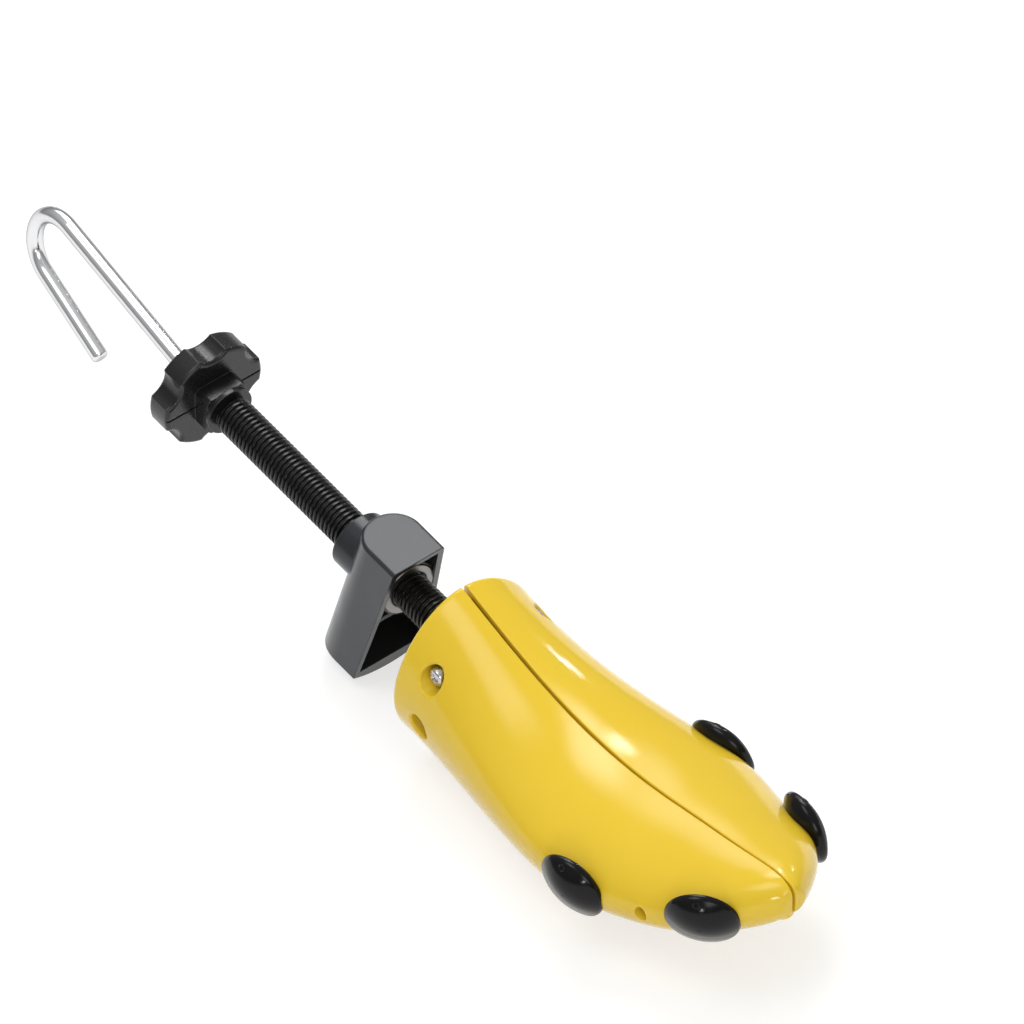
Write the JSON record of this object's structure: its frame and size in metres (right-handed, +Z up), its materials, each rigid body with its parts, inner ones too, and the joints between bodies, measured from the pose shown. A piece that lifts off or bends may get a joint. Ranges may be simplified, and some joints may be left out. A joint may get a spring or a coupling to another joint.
{
  "type": "shoe stretcher",
  "caption": "Two-way shoe stretcher: a split yellow forepart hinged at the toe, a grey heel cup on a black threaded tube with a star knob, and a chrome hook that spreads the forepart.",
  "frame": {"origin": "On the floor plane, under the middle of the whole stretcher as it rests on its heel and sole.", "axes": "X runs along the stretcher towards the toe, Y to its left, Z up."},
  "size_m": [0.4264, 0.0917, 0.0954],
  "materials": {
    "yellow_shell": "glossy",
    "ramp_plate": "matte",
    "plate_screws": "dull",
    "bright_steel": "bright",
    "mechanism_steel": "matte",
    "chrome_rod": "polished",
    "black_screw": "satin",
    "black_knob": "satin",
    "grey_heel": "satin",
    "black_plug": "glossy"
  },
  "bodies": {
    "spindle": {"spindle_block": "mechanism_steel"},
    "left_half": {"left_shell": "yellow_shell", "left_ramp_plate": "ramp_plate", "left_plate_screws": "plate_screws"},
    "right_half": {"right_shell": "yellow_shell", "right_ramp_plate": "ramp_plate", "right_plate_screws": "plate_screws", "toe_hinge_pin": "bright_steel"},
    "wedge": {"spreading_wedge": "mechanism_steel", "wedge_nut": "bright_steel"},
    "rod": {"hook_rod": "chrome_rod", "rod_thrust_collar": "chrome_rod", "rod_retaining_clip": "bright_steel"},
    "length_screw": {"threaded_tube": "black_screw", "tube_snap_ring": "bright_steel", "star_knob": "black_knob"},
    "heel": {"heel_cup": "grey_heel"},
    "plug_right_ball": {"plug_right_ball": "black_plug"},
    "plug_right_toe": {"plug_right_toe": "black_plug"},
    "plug_left_ball": {"plug_left_ball": "black_plug"},
    "plug_left_toe": {"plug_left_toe": "black_plug"}
  },
  "joints": [
    {"name": "knob_turn", "type": "hinge", "parent": "spindle", "child": "length_screw", "pos_m": [-0.07251, 0, 0.05969], "axis": [0.9826, 0, -0.1857], "range_deg": [-3241, 12601]},
    {"name": "heel_slide", "type": "slide", "parent": "spindle", "child": "heel", "axis": [0.9826, 0, -0.1857], "range_m": [-0.07, 0.018]},
    {"name": "hook_turn", "type": "hinge", "parent": "spindle", "child": "rod", "pos_m": [-0.07251, 0, 0.05969], "axis": [0.9826, 0, -0.1857], "range_deg": [-1, 8641]},
    {"name": "wedge_slide", "type": "slide", "parent": "spindle", "child": "wedge", "axis": [0.9826, 0, -0.1857], "range_m": [-0.024, 0]},
    {"name": "left_spread", "type": "hinge", "parent": "spindle", "child": "left_half", "pos_m": [0.20524, 0, 0.03773], "axis": [-0.1857, 0, -0.9826], "range_deg": [0, 3.8]},
    {"name": "right_spread", "type": "hinge", "parent": "spindle", "child": "right_half", "pos_m": [0.20524, 0, 0.03773], "axis": [0.1857, 0, 0.9826], "range_deg": [0, 3.8]},
    {"name": "plug_right_ball_pull", "type": "slide", "parent": "right_half", "child": "plug_right_ball", "axis": [0.1927, -0.9708, -0.1428], "range_m": [0, 0.012]},
    {"name": "plug_right_toe_pull", "type": "slide", "parent": "right_half", "child": "plug_right_toe", "axis": [0.6229, -0.738, -0.2594], "range_m": [0, 0.012]},
    {"name": "plug_left_ball_pull", "type": "slide", "parent": "left_half", "child": "plug_left_ball", "axis": [-0.1744, 0.9492, 0.2619], "range_m": [0, 0.012]},
    {"name": "plug_left_toe_pull", "type": "slide", "parent": "left_half", "child": "plug_left_toe", "axis": [0.1505, 0.9868, 0.0603], "range_m": [0, 0.012]}
  ],
  "couplings": [
    {"joint": "knob_turn", "follows": "heel_slide", "rad_per_m": -3141.6},
    {"joint": "hook_turn", "follows": "wedge_slide", "rad_per_m": -6283.2},
    {"joint": "left_spread", "follows": "wedge_slide", "rad_per_m": -2.7634},
    {"joint": "right_spread", "follows": "wedge_slide", "rad_per_m": -2.7634}
  ]
}
